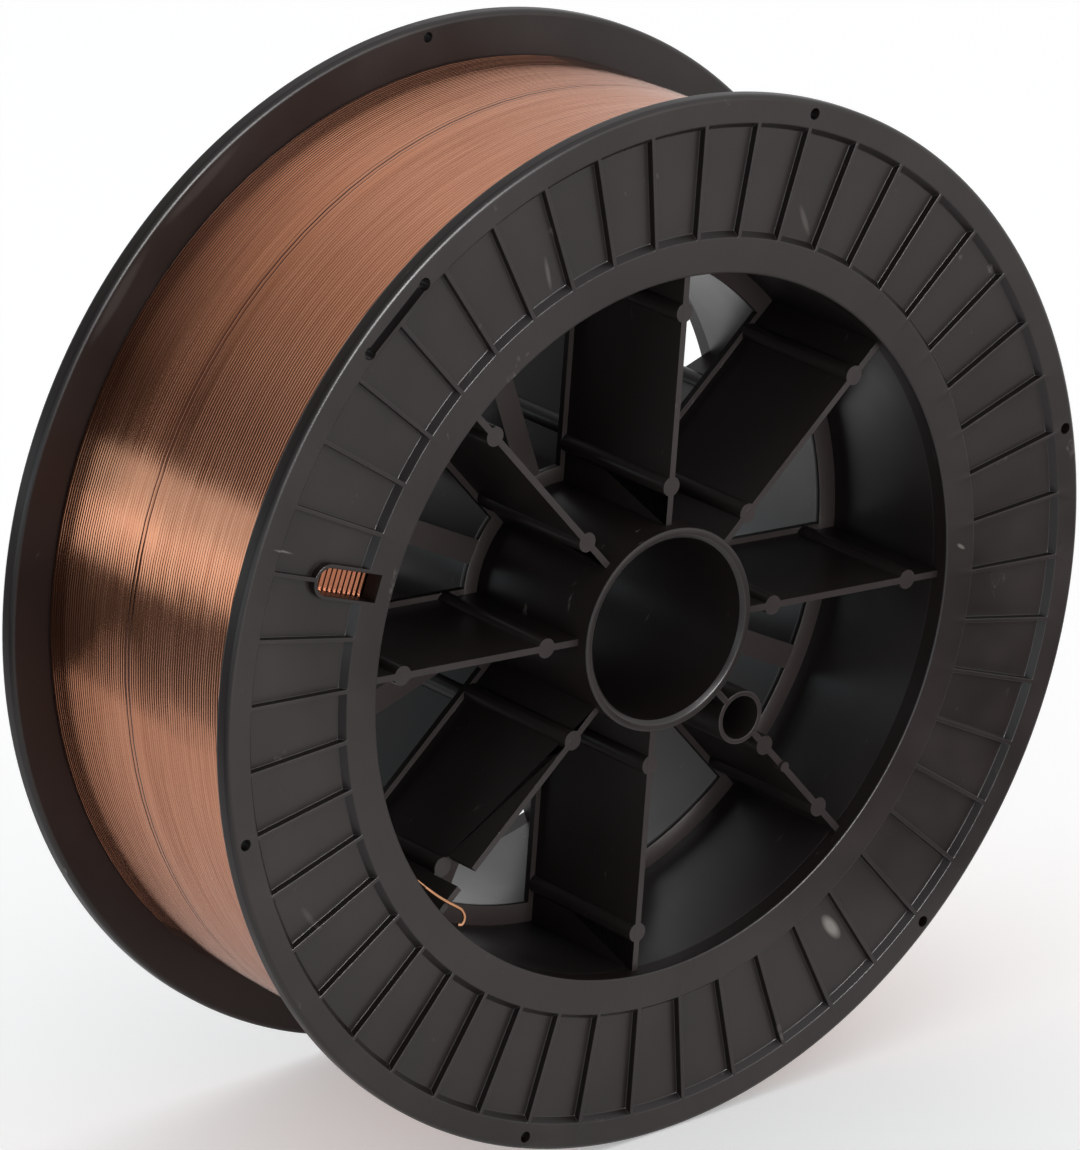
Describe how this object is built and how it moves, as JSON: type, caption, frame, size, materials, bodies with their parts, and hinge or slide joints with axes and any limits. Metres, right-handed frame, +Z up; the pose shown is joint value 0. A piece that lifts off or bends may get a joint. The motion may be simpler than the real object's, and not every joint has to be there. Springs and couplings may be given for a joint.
{
  "type": "wire spool",
  "caption": "Black plastic spool with ribbed flanges, a barrel, a hub tube and radial ribs, close wound with bright copper-coated steel welding wire.",
  "frame": {"origin": "centre of the spool: on its axis, half way between the two outer faces", "axes": "+Y along the spool's axis, from the pictured front towards the rear; +Z up as it stands on its rims; +X to the right seen from the front"},
  "size_m": [0.3, 0.103, 0.3],
  "materials": {
    "flange_plastic": "black moulded plastic, satin, with fine scuffs",
    "barrel_plastic": "black moulded plastic, matt and dusty",
    "hub_plastic": "black moulded plastic, satin",
    "web_plastic": "black moulded plastic, matt",
    "rib_plastic": "black moulded plastic, matt",
    "sleeve_plastic": "black moulded plastic, matt",
    "wire_core_copper": "copper-coated steel wire, close wound",
    "wire_copper": "copper-coated steel wire, drawn and bright",
    "tail_copper": "copper-coated steel wire, bright"
  },
  "bodies": {
    "root": {"front_flange": "flange_plastic", "rear_flange": "flange_plastic", "barrel": "barrel_plastic", "web_hub_ring": "web_plastic", "web_barrel_ring": "web_plastic", "hub_tube": "hub_plastic", "front_rib_1": "rib_plastic", "front_rib_2": "rib_plastic", "front_rib_3": "rib_plastic", "front_rib_4": "rib_plastic", "front_rib_5": "rib_plastic", "front_rib_6": "rib_plastic", "front_rib_7": "rib_plastic", "front_rib_8": "rib_plastic", "rear_rib_1": "rib_plastic", "rear_rib_2": "rib_plastic", "rear_rib_3": "rib_plastic", "rear_rib_4": "rib_plastic", "rear_rib_5": "rib_plastic", "rear_rib_6": "rib_plastic", "rear_rib_7": "rib_plastic", "rear_rib_8": "rib_plastic", "front_drive_sleeve": "sleeve_plastic", "rear_drive_sleeve": "sleeve_plastic", "wire_core": "wire_core_copper", "wire_outer_layer": "wire_copper", "wire_start_tail": "tail_copper"}
  },
  "joints": []
}
